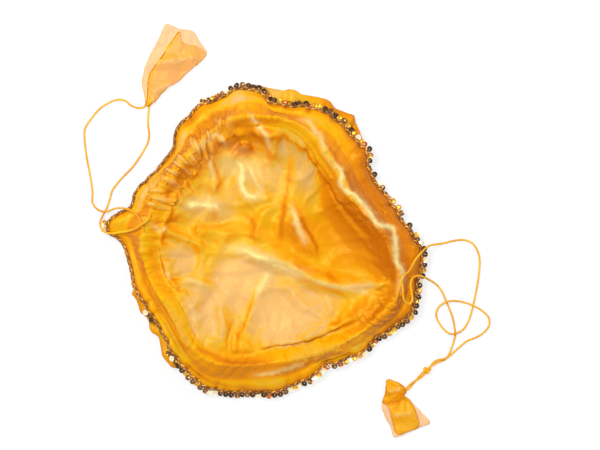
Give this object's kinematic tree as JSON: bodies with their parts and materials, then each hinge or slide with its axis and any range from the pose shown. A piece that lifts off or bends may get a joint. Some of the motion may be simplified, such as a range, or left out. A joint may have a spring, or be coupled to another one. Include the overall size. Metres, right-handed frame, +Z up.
{
  "type": "potli bag",
  "caption": "Round lined drawstring pouch of shiny tissue cloth, laid open, with a ruffled sequin edge and two cords ending in folded cloth tassels.",
  "frame": {"origin": "centre of the bag's footprint box, without its cords and tassels, on the surface that it lies on", "axes": "+Z up out of the open mouth; +X towards the long looped drawstring's side; +Y towards the side where the body bellies out behind the ruffle"},
  "size_m": [0.3745, 0.379, 0.0389],
  "materials": {
    "outer_tissue": "crisp golden orange tissue cloth, shiny and slightly see-through",
    "lining_tissue": "shiny golden tissue cloth with a peach shot weave",
    "braid": "looped braid of brown and gold metallic thread",
    "sequin": "mirror-bright gold-brown cupped sequins",
    "thread": "matt orange-brown sewing thread",
    "cord": "satin twisted golden cord",
    "tassel_tissue": "crisp see-through golden tissue cloth"
  },
  "bodies": {
    "root": {"outer_bag": "outer_tissue", "lining": "lining_tissue", "rim_braid": "braid", "sequin_row": "sequin", "outer_seam_thread": "thread", "inner_seam_thread": "thread", "drawstring_left": "cord", "drawstring_right": "cord", "tassel_left": "tassel_tissue", "tassel_right": "tassel_tissue"}
  },
  "joints": []
}
